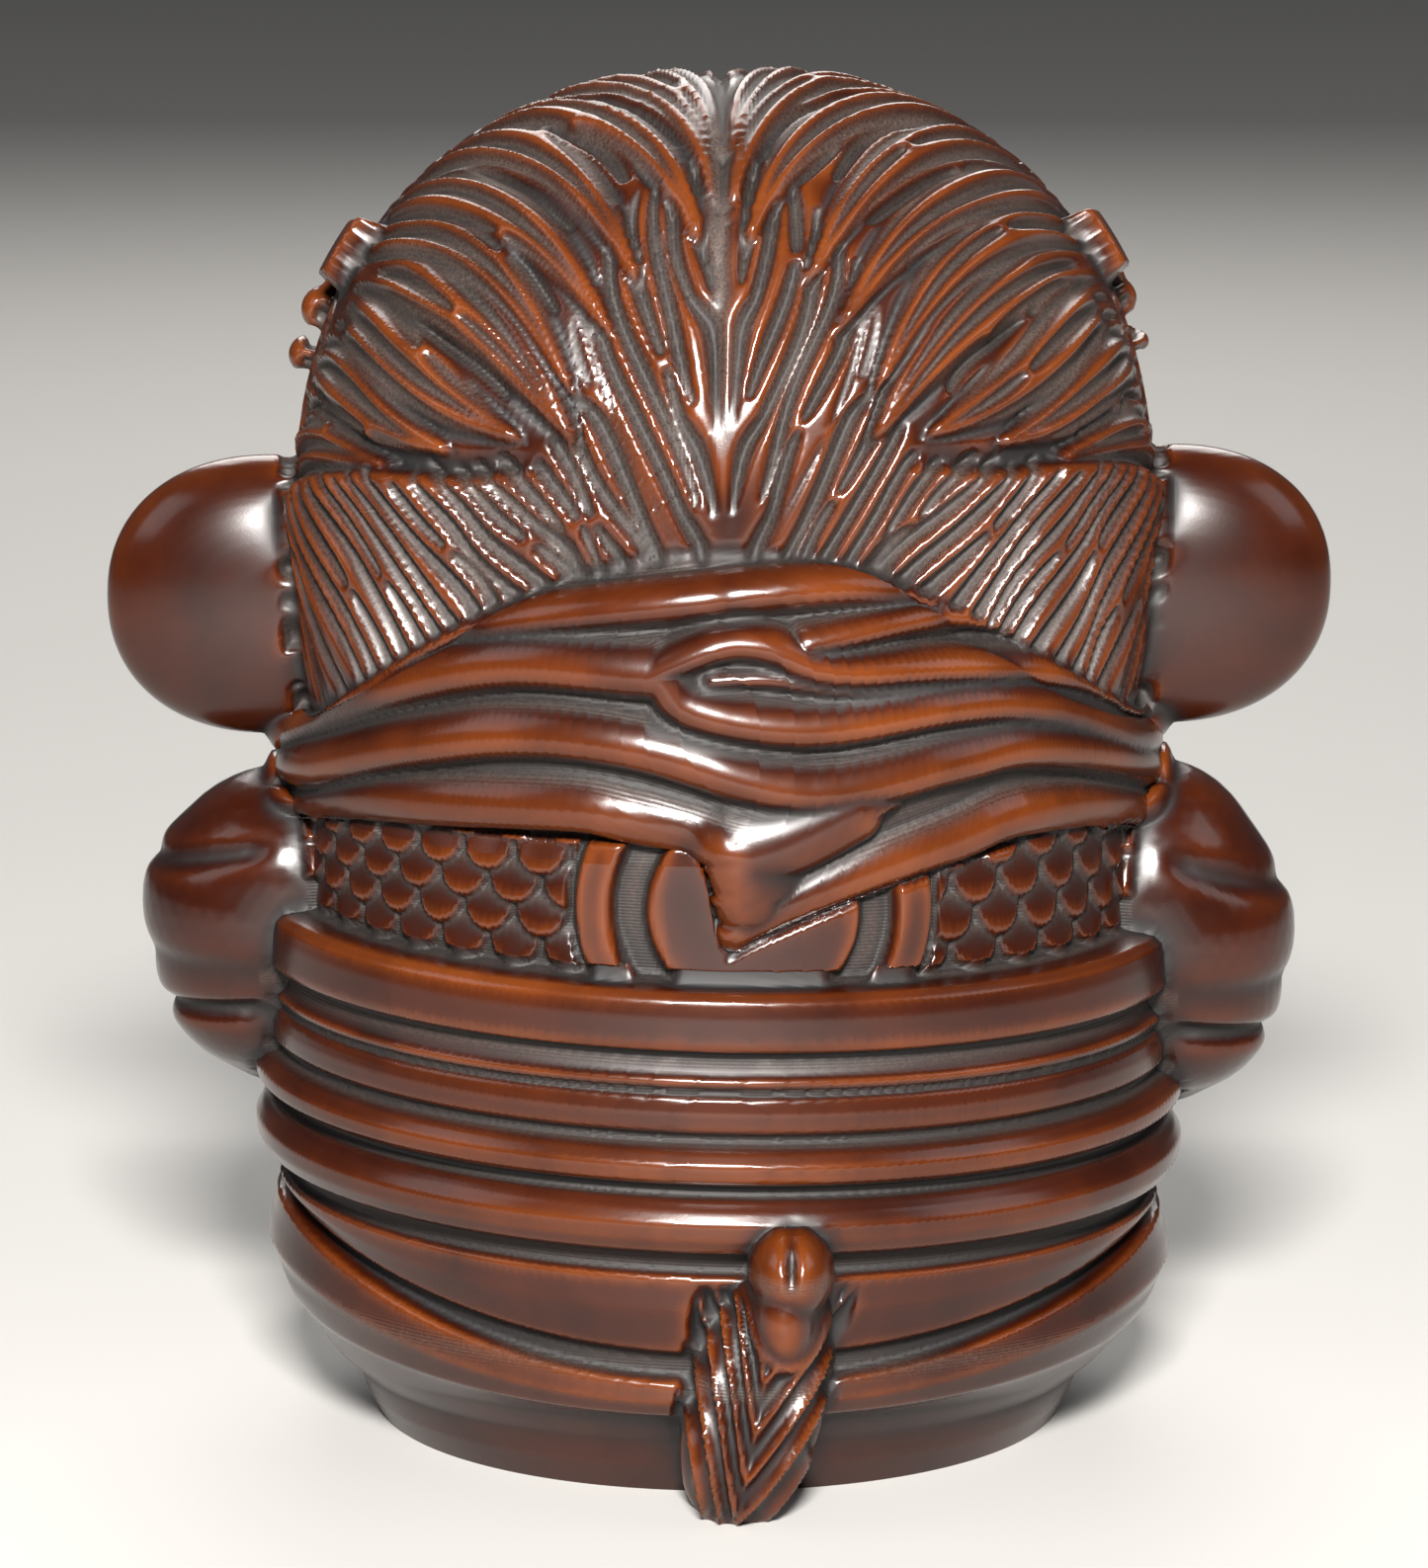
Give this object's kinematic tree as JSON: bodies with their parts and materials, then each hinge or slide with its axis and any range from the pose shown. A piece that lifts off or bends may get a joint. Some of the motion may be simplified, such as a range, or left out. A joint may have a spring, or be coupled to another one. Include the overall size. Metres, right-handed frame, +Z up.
{
  "type": "carved boxwood figurine",
  "caption": "Small round beast warrior carved in boxwood, with combed-back hair, scarf, scale armour, belts, skirt and tail, standing on a flat base.",
  "frame": {"origin": "centre of the bounding box's bottom face, on the flat underside", "axes": "+Z up through the head, -Y the way the figure faces, +Y its back, +X its own left side"},
  "size_m": [0.0496, 0.0398, 0.0551],
  "materials": {
    "boxwood": "hand-carved and polished, glossy on the raised areas and matte in the grooves"
  },
  "bodies": {
    "root": {"figurine": "boxwood"}
  },
  "joints": []
}
